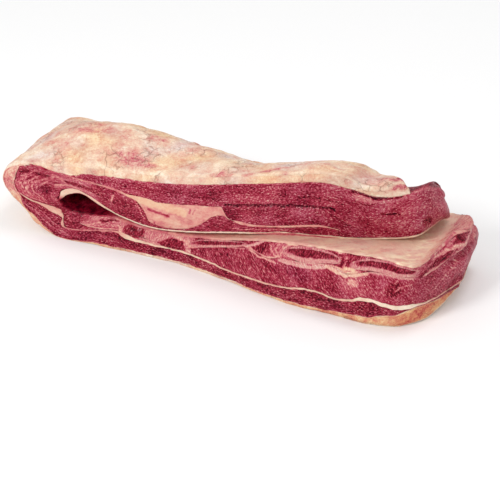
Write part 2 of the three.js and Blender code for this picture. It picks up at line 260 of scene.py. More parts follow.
def place(station, depth, distance):
    """Points of the slab, in mm."""
    fat, inward, thickness, _ = through_line(station, depth)
    point = fat + inward * distance[..., None]
    share = np.clip(distance / thickness, 0, 1)
    middleness = np.sin(np.pi * share)
    point[..., 1] -= middleness * size_at(FRONT_BULGE, station) * (1 - depth)**EDGE_POWER
    point[..., 1] += middleness * BACK_BULGE * depth**EDGE_POWER
    point[..., 0] += middleness * size_at(RIGHT_END_BULGE, station)
    point[..., 0] -= (1 - share) * depth * size_at(RIGHT_END_TAPER, station)
    point[..., 0] += size_at(RAGGED_END, distance) * rise(station, RAGGED_FROM, LAST)
    point[..., 0] += size_at(RAGGED_UPPER_END, distance) * fade(station, 0, RAGGED_UPPER_TO)
    point[..., 0] -= (BACK_CORNER_ROUND * share**2 * depth**BACK_CORNER_POWER
                      * rise(station, BACK_CORNER_FROM, LAST))
    point[..., 2] = np.maximum(point[..., 2], 0)
    return point + STATION_ORIGIN


def noise(points, size, seed):
    """Smooth noise from about -1 to 1, whose lumps are about one size apart."""
    rng = np.random.default_rng(seed)
    order = rng.permutation(256)
    slopes = rng.normal(size=(256, 3))
    slopes /= np.linalg.norm(slopes, axis=1, keepdims=True)
    scaled = np.asarray(points, float) / size
    corner = np.floor(scaled).astype(int)
    inside = scaled - corner
    weight = inside**3 * (inside * (inside * 6 - 15) + 10)
    total = 0
    for shift in np.ndindex(2, 2, 2):
        c = (corner + shift) & 255
        slope = slopes[order[(order[(order[c[..., 0]] + c[..., 1]) & 255] + c[..., 2]) & 255]]
        share = np.prod(np.where(shift, weight, 1 - weight), axis=-1)
        total = total + share * np.sum(slope * (inside - shift), axis=-1)
    return 1.6 * total


stations_fine = np.linspace(0, LAST, 3001)
steps = np.linalg.norm(np.diff(line_at(STATIONS[:, :3], stations_fine), axis=0), axis=1)
run_fine = np.concatenate([[0], np.cumsum(steps)])


def along_at(station):
    """How far along the strip a station is, in mm of the fat line."""
    return np.interp(station, stations_fine, run_fine)


FRONT, RIB_SIDE, BACK, FAT_SIDE = range(4)


def cross_section(front, rib_side, back, fat_side):
    """One turn round a ribbon, as depth, share of its thickness, and which face it is on."""
    def run(n):
        return np.arange(n) / n
    depth = np.concatenate([np.zeros(front), run(rib_side), np.ones(back), 1 - run(fat_side)])
    share = np.concatenate([run(front), np.ones(rib_side), 1 - run(back), np.zeros(fat_side)])
    face = np.repeat([FRONT, RIB_SIDE, BACK, FAT_SIDE], [front, rib_side, back, fat_side])
    return depth, share, face


class Ribbon:
    """A closed ribbon of the strip between two distances, with rings shrinking over its ends.

    first and last are stations, or functions of depth and share that give them.
    """

    def __init__(self, first, last, outer, inner, section, spacing=1.4, edges=(0.4, 0.4),
                 end_rings=6, end_bulge=0.5):
        ring_depth, ring_share, face = cross_section(*section)
        ends = [end if callable(end) else (lambda depth, share, at=end: at + 0 * depth)
                for end in (first, last)]
        middle = [along_at(end(np.array(0.5), np.array(0.5))) for end in ends]
        columns = max(4, round((middle[1] - middle[0]) / spacing))
        shrink = np.sin(np.linspace(0, np.pi / 2, end_rings + 1))[:-1]
        spread = np.concatenate([shrink, np.ones(columns), shrink[::-1]])[:, None]
        across = np.concatenate([0 * shrink, np.linspace(0, 1, columns), 0 * shrink + 1])[:, None]
        self.end = np.repeat([-1, 0, 1], [end_rings, columns, end_rings])[:, None]
        self.depth = 0.5 + (ring_depth - 0.5) * spread
        self.share = 0.5 + (ring_share - 0.5) * spread
        self.face = np.broadcast_to(face, self.depth.shape)
        start, stop = (along_at(end(self.depth, self.share)) for end in ends)
        self.station = np.interp(start + (stop - start) * across, run_fine, stations_fine)
        self.low, self.high = outer(self.station, self.depth), inner(self.station, self.depth)
        self.distance = self.low + (self.high - self.low) * self.share
        push = 0
        for near, edge in zip((self.distance - self.low, self.high - self.distance), edges):
            rounding = np.minimum(edge, (self.high - self.low) / 2 + 1e-6)
            push = push + rounding / 2 * np.clip(1 - near / rounding, 0, 1)**2
        shift = push * ((self.face == FRONT) * 1.0 - (self.face == BACK)) * (self.end == 0)
        depth = self.depth + shift / SLAB_DEPTH
        self.points = place(self.station, depth, self.distance)
        inside = np.clip(self.station - self.end * 0.02, 0, LAST)
        way = self.points - place(inside, depth, self.distance)
        way /= np.linalg.norm(way, axis=-1, keepdims=True) + 1e-9
        bulge = end_bulge * np.sqrt(np.clip(1 - spread**2, 0, 1)) * np.abs(self.end)
        self.points = self.points + way * bulge[..., None]

    def on_face(self, number):
        """1 on one of the four faces, 0 elsewhere."""
        return ((self.face == number) & (self.end == 0)).astype(float)

    def cut(self):
        """1 on the cut faces and the ends, 0 on the sides that lie against other layers."""
        return np.maximum(self.on_face(FRONT) + self.on_face(BACK), self.end != 0)

    def push_out(self, amount):
        """Moves the points along the way out of the skin, by mm."""
        along = np.gradient(self.points, axis=0)
        round_it = np.roll(self.points, -1, axis=1) - np.roll(self.points, 1, axis=1)
        out = np.cross(along, round_it)
        out /= np.linalg.norm(out, axis=-1, keepdims=True) + 1e-9
        self.points = self.points + out * amount[..., None]
        self.points[..., 2] = np.maximum(self.points[..., 2], 0)


def strip_grain(piece, turn=0.0, about=(0, 0)):
    """Where a point is along, through and into the strip, in mm, turned by degrees."""
    x, y = along_at(piece.station) - along_at(about[0]), piece.distance - about[1]
    angle = np.radians(turn)
    return np.stack([x * np.cos(angle) + y * np.sin(angle),
                     y * np.cos(angle) - x * np.sin(angle), piece.depth * SLAB_DEPTH], -1)


def oval(x, y, across, high, turn):
    """How far out points are in an oval turned by degrees, 1 being its edge."""
    c, s = math.cos(math.radians(turn)), math.sin(math.radians(turn))
    return np.hypot((x * c + y * s) / across, (y * c - x * s) / high)


EDGE_WANDER, EDGE_WANDER_SIZE = 1.1, 7


class Tone:
    """The look of a face, laid on in mm of the strip: how pale it is, from dark lean at 0
    through pink to white fat at 1, and how warm and how cool."""

    def __init__(self, piece, pale, warm=0.0, cool=0.0):
        at = strip_grain(piece)
        self.along, self.up = (at[..., i] + EDGE_WANDER * noise(at, EDGE_WANDER_SIZE, 31 + i)
                               for i in range(2))
        parts = np.broadcast_arrays(pale + 0 * self.up, warm, cool)
        self.values = np.stack(parts, -1).astype(float)

    def lay(self, mask, pale, warm=0.0, cool=0.0):
        """Brings the look to the one given as far as the mask says, 1 being wholly."""
        self.values += (np.array([pale, warm, cool]) - self.values) * mask[..., None]

    def spot(self, station, distance, across, high, *colour, turn=0.0):
        """An oval with its half sizes in mm, turned by degrees."""
        radius = oval(self.along - along_at(station), self.up - distance, across, high, turn)
        self.lay(fade(radius, 0.7, 1.2), *colour)

    def line(self, path, width, *colour):
        """A line through (station, mm) points."""
        ends = [(along_at(u), d) for u, d in path]
        nearest = np.full(self.up.shape, np.inf)
        for (ax, ay), (bx, by) in zip(ends, ends[1:]):
            x, y = self.along - ax, self.up - ay
            f = np.clip((x * (bx - ax) + y * (by - ay)) / ((bx - ax)**2 + (by - ay)**2), 0, 1)
            nearest = np.minimum(nearest, np.hypot(x - f * (bx - ax), y - f * (by - ay)))
        self.lay(fade(nearest, width / 2 - 0.5, width / 2 + 0.6), *colour)

    def patch(self, corners, *colour):
        """A patch whose corners, all of them outward ones, are (station, mm) points."""
        ends = np.array([(along_at(u), d) for u, d in corners])
        inside = np.full(self.up.shape, np.inf)
        for a, b in zip(ends, np.roll(ends, -1, axis=0)):
            across = np.array([b[1] - a[1], a[0] - b[0]]) / np.hypot(*(b - a))
            across *= np.sign((ends.mean(axis=0) - a) @ across)
            from_edge = (self.along - a[0]) * across[0] + (self.up - a[1]) * across[1]
            inside = np.minimum(inside, from_edge)
        self.lay(rise(inside, -0.7, 0.9), *colour)


MM = 0.001  # in metres


def make_object(name, form, grain, tone, material, node):
    """The closed skin through a form's rings of points, in metres, in place of a CAD node."""
    rings, around = form.points.shape[:2]
    corner = np.arange(rings * around).reshape(rings, around)
    right = np.roll(corner, -1, axis=1)
    faces = np.stack([corner[:-1], right[:-1], right[1:], corner[1:]], -1).reshape(-1, 4)
    mesh = bpy.data.meshes.new(name)
    mesh.from_pydata((form.points.reshape(-1, 3) * MM).tolist(), [], faces.tolist())
    for label, values in (("grain", grain * MM), ("tone", tone.values)):
        layer = mesh.attributes.new(label, "FLOAT_VECTOR", "POINT")
        layer.data.foreach_set("vector", values.astype(np.float32).ravel())
    # each end's innermost ring is welded into one point
    shell = bmesh.new()
    shell.from_mesh(mesh)
    bmesh.ops.remove_doubles(shell, verts=shell.verts, dist=1e-6)
    bmesh.ops.recalc_face_normals(shell, faces=shell.faces)
    shell.to_mesh(mesh)
    shell.free()
    mesh.materials.append(material)
    mesh.polygons.foreach_set("use_smooth", np.ones(len(mesh.polygons), bool))
    piece = bpy.data.objects.new(name, mesh)
    scene.collection.objects.link(piece)
    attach(piece, "root")
    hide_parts(node)


# How a screen shows raw beef at every tenth of paleness, from dark wet lean through pink to
# white fat. Fine flecks along the grain and broad clouds break the colours up.
BEEF_COLOURS = [
    (52, 0, 14), (104, 4, 26), (139, 20, 43), (164, 44, 66), (184, 75, 92), (201, 110, 117),
    (215, 143, 135), (223, 170, 153), (229, 192, 170), (238, 213, 190), (250, 232, 214),
]
WARM_TINT, COOL_TINT = (1.0, 0.86, 0.55, 1), (0.74, 0.7, 1.0, 1)
CLOUDS_PER_METRE, CLOUD_RELIEF = 75.0, 1.5


def maths(tree, operation, *values, kind="Math"):
    """The result of a Math node, or of another kind of node that works alike."""
    return add(tree, kind, dict(enumerate(values)), operation=operation).outputs[0]


def remap(tree, value, low, high, to_low=0.0, to_high=1.0, way="SMOOTHSTEP"):
    """A value between low and high, made one between to_low and to_high."""
    return add(tree, "MapRange", {
        "Value": value, "From Min": low, "From Max": high, "To Min": to_low,
        "To Max": to_high}, interpolation_type=way).outputs[0]


def blend(tree, factor, first, second, way="MIX"):
    """Two colours mixed. They are inputs 6 and 7 of the node, and output 2."""
    return add(tree, "Mix", {0: factor, 6: first, 7: second}, data_type="RGBA",
               blend_type=way).outputs[2]


beef = bpy.data.node_groups.new("beef_tones", "ShaderNodeTree")
for way, kind, *labels in (
        ("INPUT", "Vector", "Grain", "Tone"),
        ("INPUT", "Float", "Fleck Size", "Stretch", "Fleck Depth", "Cloud Depth", "Specks"),
        ("OUTPUT", "Color", "Colour"), ("OUTPUT", "Float", "Paleness", "Height", "Wet")):
    for label in labels:
        beef.interface.new_socket(label, in_out=way, socket_type="NodeSocket" + kind)
given = beef.nodes.new("NodeGroupInput").outputs
result = beef.nodes.new("NodeGroupOutput").inputs
shorter = add(beef, "CombineXYZ", {
    "X": maths(beef, "DIVIDE", 1.0, given["Stretch"]), "Y": 1.0, "Z": 1.0}).outputs[0]
along_grain = maths(beef, "MULTIPLY", given["Grain"], shorter, kind="VectorMath")
flecks = add(beef, "TexNoise", {
    "Vector": along_grain, "Scale": maths(beef, "DIVIDE", 1.0, given["Fleck Size"]),
    "Detail": 3.0, "Roughness": 0.8}).outputs["Fac"]
clouds = add(beef, "TexNoise", {
    "Vector": along_grain, "Scale": CLOUDS_PER_METRE, "Detail": 3.0, "Roughness": 0.6,
    "Distortion": 0.8}).outputs["Fac"]
masks = add(beef, "SeparateXYZ", {0: given["Tone"]}).outputs
paleness = masks["X"]
room = maths(beef, "SUBTRACT", 1.15, paleness)
for pattern, amount in ((flecks, given["Fleck Depth"]), (clouds, given["Cloud Depth"])):
    scaled = maths(beef, "MULTIPLY", maths(beef, "SUBTRACT", pattern, 0.5), amount)
    paleness = maths(beef, "MULTIPLY_ADD", scaled, room, paleness)
# the brightest flecks made paler still: fine pale marbling, and painted glints standing in for wet
# highlights
marbling_and_glint_flecks = remap(beef, flecks, 0.56, 0.7)
paleness = maths(beef, "MULTIPLY_ADD", marbling_and_glint_flecks, given["Specks"], paleness)
ramp = add(beef, "ValToRGB", {"Fac": paleness})
stops = ramp.color_ramp.elements
for tenth in range(1, 10):
    stops.new(tenth / 10)
for stop, shown in zip(stops, BEEF_COLOURS):
    stop.color = linear(*shown)
colour = ramp.outputs["Color"]
for mask, tint in ((masks["Y"], WARM_TINT), (masks["Z"], COOL_TINT)):
    colour = blend(beef, mask, colour, tint, "MULTIPLY")
for label, value in (("Colour", colour), ("Paleness", paleness),
                     ("Height", maths(beef, "MULTIPLY_ADD", clouds, CLOUD_RELIEF, flecks)),
                     ("Wet", remap(beef, clouds, 0.42, 0.62))):
    beef.links.new(value, result[label])

CRACK_COLOUR, CRACK_STRENGTH, CRACK_DEPTH = linear(160, 100, 84), 0.55, 1.6
CRACKS_PER_METRE, CRACK_WIDTH = 85.0, 0.055
CRACK_WAVES_PER_METRE, CRACK_WAVES = 120.0, (0.012, 0.012, 0.012)
CRACKED_PLACES_PER_METRE = 34.0


def beef_material(name, fleck_size, stretch, fleck_depth, cloud_depth, relief=0.0009,
                  softness=0.0, rough=(0.35, 0.5), shine=0.45, speck_and_glint_amount=0.0, creased=False):
    """Moist beef. relief is the height of its fine grain, in metres. Its brightest flecks are made
    paler by the given amount: pale marbling that also serves as painted glints of wet highlights.
    The creased kind has a net of short dark cracks."""
    material, tree = new_material(name)
    grain, tone = (add(tree, "Attribute", attribute_name=label).outputs["Vector"]
                   for label in ("grain", "tone"))
    look = add(tree, "Group", {
        "Grain": grain, "Tone": tone, "Fleck Size": fleck_size, "Stretch": stretch,
        "Fleck Depth": fleck_depth, "Cloud Depth": cloud_depth, "Specks": speck_and_glint_amount},
        node_tree=beef).outputs
    colour, height = look["Colour"], look["Height"]
    if creased:
        waves = add(tree, "TexNoise", {"Vector": grain, "Scale": CRACK_WAVES_PER_METRE})
        bent = maths(tree, "MULTIPLY_ADD", waves.outputs["Color"], CRACK_WAVES, grain,
                     kind="VectorMath")
        net = add(tree, "TexVoronoi", {"Vector": bent, "Scale": CRACKS_PER_METRE},
                  feature="DISTANCE_TO_EDGE").outputs["Distance"]
        places = add(tree, "TexNoise", {
            "Vector": grain, "Scale": CRACKED_PLACES_PER_METRE, "Detail": 3.0})
        crack = maths(tree, "MULTIPLY", remap(tree, net, 0.0, CRACK_WIDTH, 1.0, 0.0),
                      remap(tree, places.outputs["Fac"], 0.5, 0.62, way="LINEAR"))
        strength = maths(tree, "MULTIPLY", crack, CRACK_STRENGTH)
        colour = blend(tree, strength, colour, CRACK_COLOUR)
        height = maths(tree, "MULTIPLY_ADD", crack, -CRACK_DEPTH, height)
    bump = add(tree, "Bump", {"Strength": 0.6, "Distance": relief, "Height": height})
    finish_material(tree, add(tree, "BsdfPrincipled", {
        "Base Color": colour, "Normal": bump.outputs[0], "Specular IOR Level": 0.07,
        "Roughness": remap(tree, look["Paleness"], 0.0, 1.0, *rough, way="LINEAR"),
        "Coat Weight": maths(tree, "MULTIPLY", look["Wet"], shine), "Coat Roughness": 0.1,
        "Coat IOR": 1.33, "Subsurface Weight": softness, "Subsurface Scale": 0.5,
        "Subsurface Radius": (0.004, 0.002, 0.0015)}))
    return material


FAT_THICKNESS = [
    [0, 12], [1.8, 12], [2.2, 14.5], [2.75, 14], [3.3, 10], [3.7, 8.5], [4.2, 12], [5, 11],
    [8, 9], [11, 8], [12, 8], [13, 8.5], [14, 11], [15.6, 11], [16.2, 9.6], [17, 8], [18.6, 8],
    [20, 5], [24, 4], [25, 5], [26, 7], [27, 10], [29, 12], [29.6, 8], [30, 4],
]
FAT_WANDER = [
    [11, 0], [11.32, 4], [11.66, 3.4], [12, 1.5], [12.22, -2.7], [12.5, -5.5], [13.1, -5.3],
    [13.57, -1], [14.3, 4], [15.7, 4.5], [16.1, 4], [16.45, 0], [16.94, -3], [17.57, -.5],
    [18.17, -2.6], [18.61, -5], [18.97, -4.5], [20, 0], [26.7, 0], [27.04, 3], [27.9, 5.5],
    [28.4, 9.5], [28.7, 11], [29.2, 6.5], [29.5, 2], [30, -2.5],
]
FAT_TIP_IN_FRONT, FAT_TIP_BACKS_OFF, FAT_TIP_ROUNDS = 1.75, 1.7, 0.3
FAT_EDGE, FAT_CREASE_DEPTH = 5.0, 1.1


def fat_tip(depth, share):
    """The tongue's end draws back towards the rear."""
    return FAT_TIP_IN_FRONT + FAT_TIP_BACKS_OFF * depth**0.8 + 0 * share


def fat_skin(station, depth):
    """The fat's outside, drawn in at the cut edges and rounded at the tongue's tip."""
    into = np.minimum(depth, 1 - depth) * SLAB_DEPTH
    drop = FAT_EDGE / 2 * np.clip(1 - into / FAT_EDGE, 0, 1)**2
    tip = np.clip(1 - (station - fat_tip(depth, 0)) / FAT_TIP_ROUNDS, 0, 1)
    thick = size_at(FAT_THICKNESS, station) * np.sqrt(np.clip(1 - tip**2, 0.02, 1))
    return -(thick - np.minimum(drop, thick * 0.5))


def fat_line(station, depth):
    """The ragged line where fat meets meat."""
    at = np.stack([along_at(station), depth * SLAB_DEPTH, 0 * station], -1)
    _, _, thickness, in_front = through_line(station, depth)
    wander = size_at(FAT_WANDER, station) * thickness / in_front * (1 - depth)**2
    in_fold = between(station, 11, 12, 13.5, 14.5)
    return wander + (0.6 + 2.2 * in_fold) * noise(at, 9, 1) + 0.3 * noise(at, 4, 2)


fat = Ribbon(fat_tip, LAST, fat_skin, fat_line, (10, 8, 6, 80), spacing=1.2,
             edges=(3.5, 0.3), end_rings=10, end_bulge=2.5)
skin = np.maximum(fat.on_face(FAT_SIDE), 0.35 * fat.cut())
at = fat.points
lumps = 1.6 * noise(at, 36, 3) + 0.9 * noise(at, 15, 4) + 0.45 * noise(at, 7, 5)
lumps += 2.2 * noise(at, 21, 46) * fade(fat.station, 5, 8)
ridge = 1 - 2.4 * np.abs(noise(at * [0.7, 1, 1] + 1.5 * noise(at, 5, 40)[..., None], 13, 6))
crease = rise(ridge, 0.72, 1.0) * rise(noise(at, 24, 7), 0.05, 0.5)
fat.push_out(skin * (lumps - FAT_CREASE_DEPTH * crease))

# Where blood and thin red meat show through the fat: station, depth, half sizes along and
# into the slab in mm, turn in degrees, and how strong, over 1 where it is nearly raw meat.
BLUSHES = [
    (9.6, .13, 30, 13, 20, 1.0), (9.15, .08, 14, 9, 0, 1.0), (9.8, .17, 14, 9, 20, 1.0),
    (11.2, .46, 44, 15, 0, .75), (11.9, .27, 20, 12, 0, .6), (10.0, .36, 9, 7, 0, .8),
    (9.33, .46, 17, 11, -20, .8), (8.24, .40, 16, 10, 0, .6), (7.32, .03, 17, 7, 10, 1.0),
    (6.75, .03, 12, 5, 0, .9), (6.5, .07, 26, 4, -32, .9), (6.25, .12, 24, 4, -32, .85),
    (5.86, .02, 5, 5, 0, .9), (5.2, .2, 12, 8, 0, .5), (4.62, .16, 7, 5, 30, 1.0),
    (2.75, .14, 12, 6, -15, .9), (2.3, .03, 8, 5, 0, .5), (2.35, .11, 13, 9, 0, 1.8),
    (3.6, .3, 14, 8, 0, .4), (7.9, .16, 12, 9, 0, .4), (11.6, .75, 26, 12, 0, .5),
    (8.6, .8, 22, 8, 15, .7), (6.0, .7, 16, 5, -20, .6), (4.4, .8, 12, 6, 0, .6),
    (13.2, .5, 12, 9, 0, .4), (14.6, .7, 10, 14, 0, .4),
]
grain = strip_grain(fat)
warped = grain + np.stack([3.5 * noise(at, 11, 41) + 1.2 * noise(at, 4, 42),
                           0 * crease, 3.0 * noise(at, 11, 43) + 1.2 * noise(at, 4, 44)], -1)
blush = np.zeros(fat.station.shape)
for station, depth, long, wide, turn, strength in BLUSHES:
    radius = oval(warped[..., 0] - along_at(station), warped[..., 2] - depth * SLAB_DEPTH,
                  long, wide, turn)
    blush = np.maximum(blush, strength * fade(radius, 0.3, 1.25))
blush *= 0.75 + 0.5 * noise(at, 5, 44)
outside = fat.on_face(FAT_SIDE)
tone = Tone(fat, 0.83 + 0.06 * noise(at, 26, 8),
            np.clip(0.26 + 0.55 * noise(at, 30, 9), 0, 1),
            np.clip(0.12 + 0.6 * noise(at, 26, 10), 0, 0.5))
tone.lay(outside * crease * 0.6, 0.62, 0.45, 0.1)
tone.lay(outside * np.clip(blush, 0, 1), 0.58, 0.0, 0.1)
tone.lay(outside * np.clip(blush - 1, 0, 0.7), 0.35, 0.0, 0.1)
from_tip_blush = np.hypot((warped[..., 0] - along_at(2.2)) / 11, (fat.distance + 11) / 6)
tone.lay(fat.cut() * fade(from_tip_blush, 0.3, 1.2) * 0.9, 0.5, 0.0, 0.1)
rim = outside * fade(fat.depth * SLAB_DEPTH + 2 * noise(at, 8, 47), 2.5, 7)
tone.lay(rim * rise(fat.station, 2.5, 4) * (1 - blush) * 0.6, 0.93, 0.12)
in_fold = fat.cut() * between(fat.station, 12.6, 13.2, 16, 16.8)
tone.lay(in_fold * rise(fat.distance, -9.0, -6.5), 0.6, 0.05)
tone.lay(in_fold * fade(np.abs(fat.distance + 8.6), 0.2, 0.9), 0.4, 0.3)
tone.lay(fat.cut() * between(fat.station, 15.6, 16.5, 20, 22) * 0.8, 0.74, 0.6)
tone.lay(fat.cut() * rise(fat.station, 22, 25), 0.69, 0.8)
tone.lay(fat.cut() * rise(fat.station, 27.5, 28.2), 0.64, 1.0)
make_object("fat_cap_skin", fat, grain, tone,
            beef_material("beef_fat", 0.0018, 1.2, 1.9, 2.1, relief=0.0013, softness=0.08,
                          rough=(0.45, 0.6), shine=0.25, creased=True),
            "fat_cap")


# -------------------------------- outer muscle
# The large flat muscle under the fat, dark and finely flecked. It is the whole of the upper
# leaf's right end, and thins out round the fold.

# At the cut face, by station: how far in from the smooth fat line the outer muscle and the
# seam end, and how thick the rib layer and the lining are.
OUTER_END = [
    [4.5, 50.5], [5.14, 48.9], [6.03, 48.8], [6.58, 46.9], [6.89, 43], [7.15, 38.5], [7.3, 24.5],
    [7.53, 24.3], [7.86, 22.9], [8.75, 22], [9.16, 18.1], [9.73, 16.4], [9.97, 12.9], [10.7, 8.9],
    [11.37, 6.8], [12, 3], [12.5, -6], [15.7, 4.8], [15.95, 8.5], [16.2, 14], [16.45, 19],
    [16.75, 21.5], [17.4, 22.5], [17.6, 25], [17.81, 25], [18.3, 14.5], [18.6, 10.2], [19.03, 12],
    [19.9, 15.2], [20.38, 17.2], [20.5, 14], [20.64, 11.8], [21.07, 11], [22.05, 12],
    [22.52, 11.4], [23.15, 9.3], [23.69, 11.4], [24.42, 13.2], [24.78, 16], [25.15, 19.4],
    [25.51, 18.8], [25.87, 15.2], [26.25, 16], [26.52, 19.5], [26.8, 19.6], [27.12, 17],
    [27.67, 12.8], [28.11, 10.8], [28.72, 11.7], [29.2, 9], [29.51, 7], [30, 6.6],
]
SEAM_END = [
    [4.5, 51.5], [5.14, 50.8], [6.03, 50.5], [6.58, 49.2], [6.9, 45.5], [7.12, 40], [7.3, 35],
    [7.5, 36.6], [7.67, 42.9], [7.92, 49.5], [8.17, 52.7], [8.43, 53.2], [8.83, 51], [9.12, 46.5],
    [9.2, 36], [9.33, 27], [9.47, 21.7], [9.74, 18], [10, 14.4], [10.3, 12.6], [11.37, 7.6],
    [12, 4], [12.5, -5], [15.7, 5.2], [15.95, 11], [16.29, 21.8], [16.56, 31], [16.85, 34],
    [17.1, 34.5], [17.45, 31.5], [17.81, 27.5], [18.35, 16.2], [18.61, 12], [19.03, 13.2],
    [19.9, 16.4], [20.38, 18.6], [20.62, 16.4], [20.93, 13.5], [21.43, 13], [22.04, 13.8],
    [22.52, 12.9], [23.15, 10.8], [23.69, 12.9], [24.42, 14.7], [24.78, 17.6], [25.15, 21.2],
    [25.51, 20.6], [25.87, 17.1], [26.25, 18.8], [26.52, 23.4], [26.8, 23.4], [27.12, 21],
    [27.67, 17.7], [28.11, 16.8], [28.5, 16.5], [28.72, 14.5], [29.2, 11], [29.51, 8.6],
    [30, 8.2],
]
RIB_LAYER_THICKNESS = [
    [18.4, 1], [19.03, 15], [19.9, 13.6], [20.38, 9.3], [21.07, 8.9], [21.43, 10.6], [22.04, 12],
    [22.46, 8.5], [22.93, 6.5], [23.3, 6.5], [23.55, 7.5], [23.8, 11], [24.0, 14.5], [24.18, 16],
    [24.5, 14.5], [24.96, 16], [25.25, 14.6], [25.6, 13.4], [25.93, 16.5], [26.11, 19.4],
    [26.4, 16.5], [26.75, 13.4], [27.8, 11.5], [28.68, 10.5], [28.97, 13], [29.55, 12.4],
    [30, 14],
]
LINING_THICKNESS = [
    [0, 1.9], [4.2, 2.2], [4.8, 4.8], [6, 5], [6.5, 2.6], [7, 1.8], [10.2, 1.8], [10.75, 4],
    [11.2, 8], [12.2, 9.5], [13, 8], [13.9, 4], [15, 2], [18, 1.6], [30, 2],
]
SEAM_START, RIB_LAYER_START = 4.5, 18.4
LEAST = 0.3  # the thickness that is left of a layer that has run out


def layer_faces(station, depth):
    """Distances from the fat line of the faces between the layers, from fat to rib side."""
    _, _, thickness, in_front = through_line(station, depth)
    squeeze = thickness / in_front
    fat_end = size_at(FAT_WANDER, station) * squeeze * (1 - depth)**2
    lining = size_at(LINING_THICKNESS, station) * (1 - 0.6 * depth)
    ribs = np.where(station < RIB_LAYER_START, 0, size_at(RIB_LAYER_THICKNESS, station))
    rib_end = thickness - lining
    deep_end = rib_end - np.minimum(ribs, 0.6 * thickness)
    closed = station < SEAM_START
    outer_end = np.where(closed, deep_end, size_at(OUTER_END, station) * squeeze)
    outer_end = np.clip(outer_end, fat_end + LEAST, np.maximum(deep_end, fat_end + LEAST))
    seam_end = np.where(closed, deep_end, size_at(SEAM_END, station) * squeeze)
    seam_end = np.clip(seam_end, outer_end + LEAST, np.maximum(deep_end, outer_end + LEAST))
    return {"outer": outer_end, "seam": seam_end, "deep": deep_end, "ribs": rib_end,
            "side": thickness}


def ragged(label, seed, amount=0.5):
    """A face between two layers, worn ragged. Both its layers are given the same one."""
    def distance(station, depth):
        at = np.stack([along_at(station), depth * SLAB_DEPTH, 0 * station + 40 * seed], -1)
        wander = amount * noise(at, 8, seed) + amount / 2 * noise(at, 3.5, seed + 50)
        return layer_faces(station, depth)[label] + wander
    return distance


def cut_relief(piece):
    """The hand-cut surface that all the layers share: shallow waves, torn a little."""
    at = piece.points
    return 0.9 * noise(at, 14, 12) + 0.45 * noise(at, 5, 13)


outer_end = ragged("outer", 11)
outer = Ribbon(0, LAST, fat_line, outer_end, (44, 12, 16, 12), spacing=1.25, end_rings=16,
               end_bulge=2.0)
grain = strip_grain(outer)
streaks = noise(grain * [0.22, 1, 0.3], 3.5, 33)
upper, right = fade(outer.station, 12, 15), fade(outer.station, 2.5, 4.5)
tone = Tone(outer, 0.2 + 0.07 * upper + 0.1 * right + 0.07 * noise(grain, 22, 34)
            + 0.09 * streaks, 0, 0.32 + 0.3 * noise(grain, 30, 35) - 0.05 * right)
tone.lay(fade(outer.distance - outer.low, 0.6, 2.0) * 0.6, 0.46)
tone.lay(between(outer.station, 16.2, 16.8, 18.6, 19.6)
         * rise(noise(grain * [0.1, 1, 0.3], 3.2, 36), -0.1, 0.5) * 0.7, 0.36, 0, 0.3)
tone.lay(between(outer.station, 11.6, 12.6, 14.5, 16), 0.25)
# the crease along the middle and the crack under the fat's tip, painted dark: painted shade in the
# crease, and dark gristle with painted shade under the overhanging fat; and the pale strip beside
# it
CREASE = [(7.2, 23.1), (6.44, 24.1), (5.7, 25.1), (5.29, 27.9), (4.61, 28.2)]
GROOVE_DEPTH = 1.6
# painted shade along the crease
tone.line(CREASE, 2.2, 0.05, 0, 0.3)
tone.line([(5.6, 16), (4.9, 18), (4.3, 19)], 1.4, 0.08)
tone.line([(2.9, 17.5), (2.5, 18.5), (2.15, 20)], 2.2, 0.1)
tone.patch([(3.95, 4), (3.9, 11), (3.3, 9), (2.9, 4.5), (3.2, 2)], 0.5, 0, 0.15)
tone.line([(3.9, 13), (3.4, 11.5), (3.05, 8)], 1.2, 0.1)
tone.line([(3.1, 4), (2.4, 4.8), (2.0, 3), (1.5, 0), (1.0, -3)], 2.6, 0.47, 0, 0.3)
# the crack under the fat's tip: dark gristle, darkened further by painted shade under the
# overhanging fat
tone.line([(3.95, 2.2), (3.4, 2.2), (2.7, 1.8), (2.1, 1.4)], 2.2, 0.03)
tone.line([(1.3, 23), (0.95, 18), (0.6, 21), (0.4, 27)], 1.2, 0.44)
tone.line([(4.6, 32), (4.2, 38), (3.9, 42)], 1.5, 0.4)
tone.spot(3.0, 33, 22, 9, 0.3, 0, 0.2)
tone.spot(0.75, 36, 8, 7, 0.16)
tone.line([(16.42, -1), (17.07, 6.1), (18.35, 4.6), (19.09, 1.6)], 1.8, 0.42, 0, 0.3)
tone.line([(16.53, 9), (17.37, 13), (18.43, 9.4)], 1.5, 0.4, 0, 0.3)
tone.lay(outer.on_face(FAT_SIDE) * right, 0.2, 0, 0.15)
groove = Tone(outer, 0)
groove.line(CREASE, 2.6, 1.4)
groove.line([(3.95, 0.5), (3.4, 0.5), (2.7, 0.5)], 4.0, 1.0)
outer.push_out(outer.cut() * (cut_relief(outer) - GROOVE_DEPTH * groove.values[..., 0]))
make_object("outer_muscle_meat", outer, grain, tone,
            beef_material("outer_muscle_cut", 0.0015, 1.8, 1.8, 0.6, shine=0.2, speck_and_glint_amount=0.22),
            "outer_muscle")


# -------------------------------- seam fat
# Fat and silverskin between the outer and the deep muscle: a thin sheet most of the way, a
# thick wedge in the upper leaf and a pale flap at the fold.

